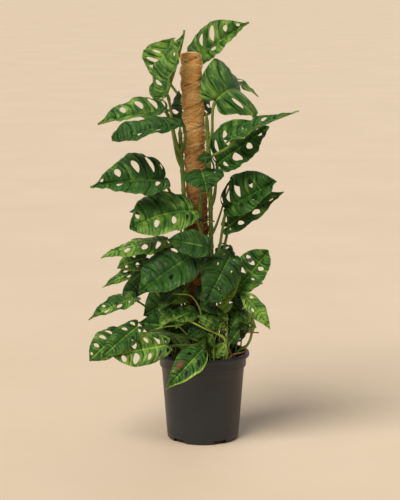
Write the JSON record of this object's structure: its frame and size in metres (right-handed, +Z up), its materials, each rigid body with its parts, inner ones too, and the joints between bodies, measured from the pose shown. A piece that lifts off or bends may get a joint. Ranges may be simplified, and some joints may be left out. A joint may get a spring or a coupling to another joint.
{
  "type": "potted monstera adansonii",
  "caption": "Climbing house plant with long oval perforated leaves on a round coir pole, rooted in soil in a tapered black nursery pot with a rolled rim.",
  "frame": {"origin": "centre of the pot's flat underside", "axes": "+Z up along the pot's axis; -Y is the front, from which the pole shows with leaves on both sides; +X is to the viewer's right"},
  "size_m": [0.4139, 0.2597, 0.8498],
  "materials": {
    "pot": "black moulded polypropylene with a faint satin sheen",
    "soil": "damp dark potting soil with bark crumbs and fine roots",
    "stake": "plain sawn softwood",
    "coir": "wound coconut fibre, matt and hairy",
    "vine": "fleshy light green stem with a waxy skin",
    "shoot": "tender yellow-green young growth",
    "leaf": "leathery green blade with a satin upper side and pale veins",
    "tie_green": "dark green plant tie",
    "tie_yellow": "pale yellow plant tie",
    "dry_root": "dry brown root and stalk"
  },
  "bodies": {
    "root": {"pot": "pot", "soil": "soil", "pole_stake": "stake", "pole_coir": "coir", "vine_left": "vine", "vine_right": "vine", "vine_front": "vine", "vine_back": "vine", "vine_low": "vine", "vine_side": "vine", "shoot_tall": "shoot", "shoot_curled": "shoot", "shoot_low": "shoot", "shoot_narrow": "shoot", "shoot_pale": "shoot", "shoot_left": "shoot", "leaf_crown_right": "leaf", "leaf_crown_left": "leaf", "leaf_crown_round": "leaf", "leaf_crown_back": "leaf", "leaf_upper_left_high": "leaf", "leaf_upper_left_front": "leaf", "leaf_upper_left_back": "leaf", "leaf_middle_left_high": "leaf", "leaf_middle_left_front": "leaf", "leaf_middle_left_behind": "leaf", "leaf_middle_left_low": "leaf", "leaf_middle_left_back": "leaf", "leaf_middle_left_small": "leaf", "leaf_centre_left_low": "leaf", "leaf_centre_front_low": "leaf", "leaf_centre_bright": "leaf", "leaf_centre_dark": "leaf", "leaf_centre_hanging": "leaf", "leaf_centre_behind": "leaf", "leaf_upper_right_heart": "leaf", "leaf_upper_right_wide": "leaf", "leaf_upper_right_edge": "leaf", "leaf_upper_right_hidden": "leaf", "leaf_middle_right_high": "leaf", "leaf_middle_right_behind": "leaf", "leaf_middle_right_low": "leaf", "leaf_middle_right_back": "leaf", "leaf_lower_right": "leaf", "leaf_lower_right_tip": "leaf", "leaf_lower_right_back": "leaf", "leaf_lower_left_high": "leaf", "leaf_lower_left_dark": "leaf", "leaf_lower_left_mid": "leaf", "leaf_lower_left_front": "leaf", "leaf_lower_left_edge": "leaf", "leaf_lower_left_open": "leaf", "leaf_lower_left_inner": "leaf", "leaf_lower_left_shade": "leaf", "leaf_over_pot": "leaf", "tie_green": "tie_green", "tie_yellow": "tie_yellow", "dry_root": "dry_root", "dead_stalk": "dry_root"}
  },
  "joints": []
}
